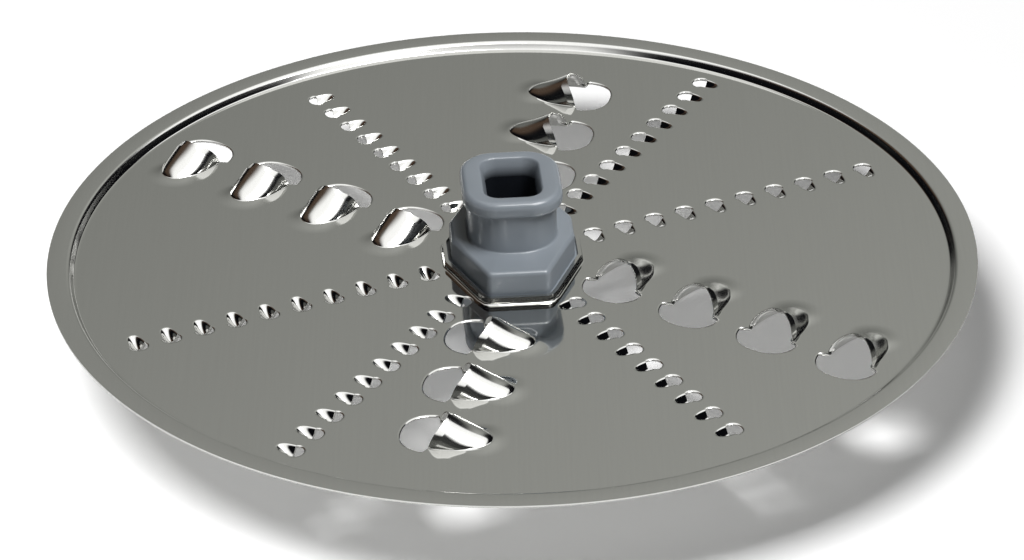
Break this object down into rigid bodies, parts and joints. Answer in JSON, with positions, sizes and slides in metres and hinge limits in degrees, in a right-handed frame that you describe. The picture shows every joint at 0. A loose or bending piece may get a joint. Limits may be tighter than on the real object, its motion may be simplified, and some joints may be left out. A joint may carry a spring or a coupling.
{
  "type": "food processor disc",
  "caption": "Round reversible grating disc: polished stainless sheet with hoods pressed up, fine teeth pressed down and a raised rim, on a moulded grey plastic hub with an oblong drive socket.",
  "frame": {"origin": "on the disc's axis at the foot of the hub, where it stands", "axes": "+Z along the axis, coarse side up; +X to the right in the picture's view, across the socket's narrow way"},
  "size_m": [0.128, 0.128, 0.0249],
  "materials": {
    "stainless": "mirror polished",
    "hub_plastic": "satin moulded"
  },
  "bodies": {
    "root": {"grating_disc": "stainless", "hub": "hub_plastic"}
  },
  "joints": []
}
